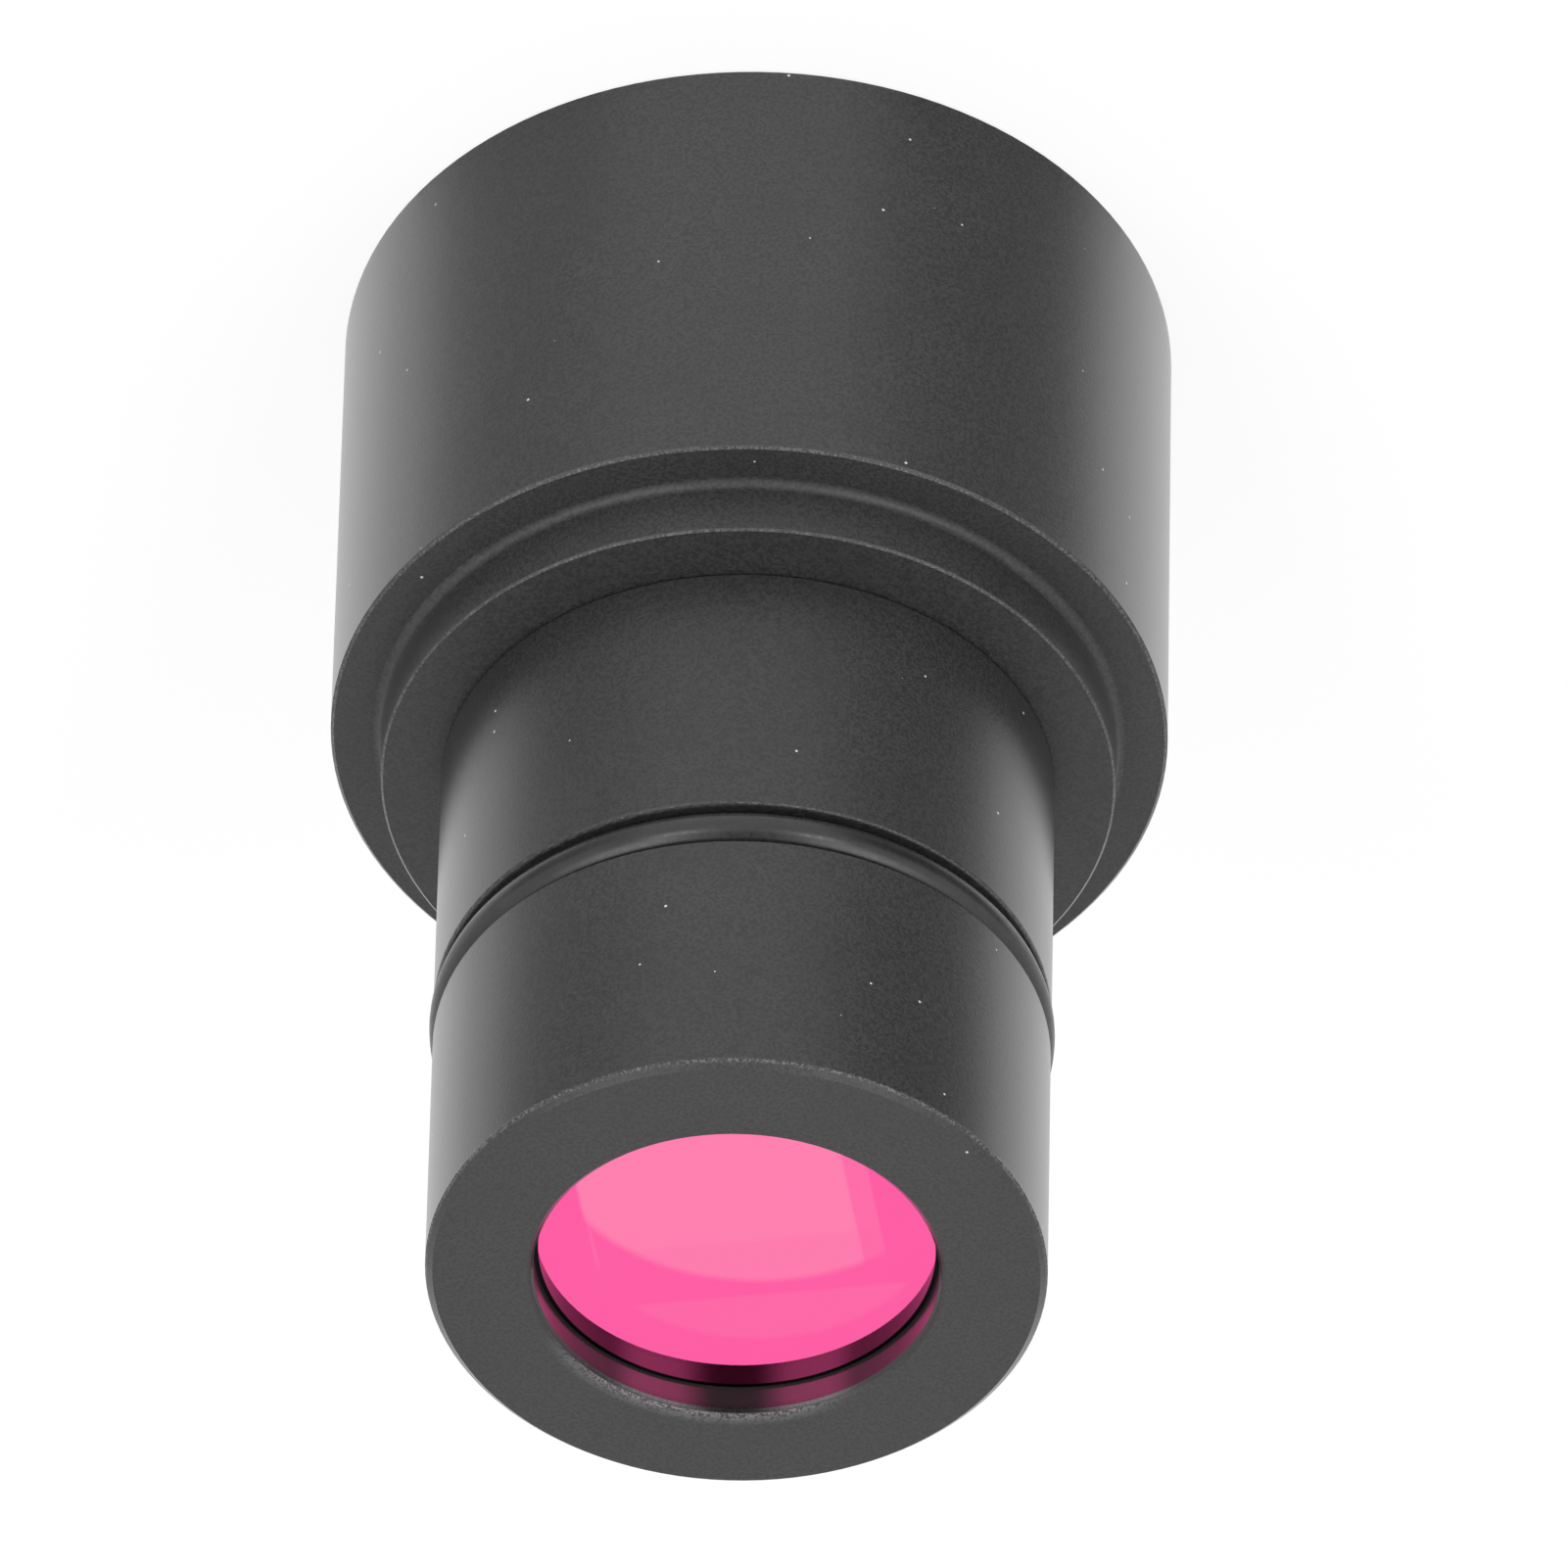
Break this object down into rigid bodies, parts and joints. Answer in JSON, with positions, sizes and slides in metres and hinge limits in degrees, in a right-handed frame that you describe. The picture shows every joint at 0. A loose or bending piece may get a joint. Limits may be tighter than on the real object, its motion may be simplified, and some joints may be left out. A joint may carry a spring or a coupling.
{
  "type": "guide camera",
  "caption": "Small round astronomy guide camera: a black drum with USB and guide sockets on its back and a screwed-in 1.25 inch nose with an O-ring and a pink filter window.",
  "frame": {"origin": "centre of the flat rear face, which the camera stands on", "axes": "+Z along the optical axis from the rear face to the tip of the nose; +X from the USB socket to the guide port jack; +Y from the jack's contacts to its latch channel"},
  "size_m": [0.0434, 0.0434, 0.0652],
  "materials": {
    "body_anodised": "bead-blasted and black anodised, soft satin sheen",
    "nose_anodised": "bead-blasted and black anodised, soft satin sheen",
    "black_screw": "black oxide",
    "circuit_board": "green solder mask on glass laminate",
    "chip": "moulded epoxy",
    "plated_steel": "nickel plated",
    "capacitor_can": "drawn can",
    "black_plastic": "moulded",
    "white_plastic": "moulded",
    "standoff_brass": "turned",
    "gold_contact": "thin gold plating",
    "sensor_ceramic": "moulded package",
    "sensor_silicon": "polished silicon",
    "cover_glass": "clear",
    "gasket_foam": "closed-cell foam",
    "oring_rubber": "smooth, slightly greasy",
    "filter_pink": "interference coating that reflects pink"
  },
  "bodies": {
    "camera_body": {"body_shell": "body_anodised", "back_plate": "body_anodised", "plate_screws": "black_screw", "main_board": "circuit_board", "usb_controller": "chip", "memory_chip": "chip", "clock_crystal": "plated_steel", "voltage_regulator": "chip", "guide_optocouplers": "chip", "filter_capacitors": "capacitor_can", "board_socket": "black_plastic", "board_header": "black_plastic", "board_screws": "plated_steel", "board_standoffs": "standoff_brass", "sensor_board": "circuit_board", "sensor_package": "sensor_ceramic", "sensor_die": "sensor_silicon", "sensor_cover_glass": "cover_glass", "light_gasket": "gasket_foam", "usb_shell": "plated_steel", "usb_insulator": "white_plastic", "usb_contacts": "gold_contact", "jack_housing": "black_plastic", "jack_contacts": "gold_contact"},
    "grip_ring": {"nose_oring": "oring_rubber"},
    "nosepiece": {"nose_tube": "nose_anodised", "filter_glass": "filter_pink", "filter_retainer": "nose_anodised"}
  },
  "joints": [
    {"name": "nose_travel", "type": "slide", "parent": "camera_body", "child": "grip_ring", "axis": [0, 0, 1], "range_m": [0, 0.00397]},
    {"name": "nose_turn", "type": "hinge", "parent": "grip_ring", "child": "nosepiece", "pos_m": [0, 0, 0.0307], "axis": [0, 0, 1], "range_deg": [0, 1800]}
  ],
  "couplings": [
    {"joint": "nose_travel", "follows": "nose_turn", "m_per_rad": 0.00012637}
  ]
}
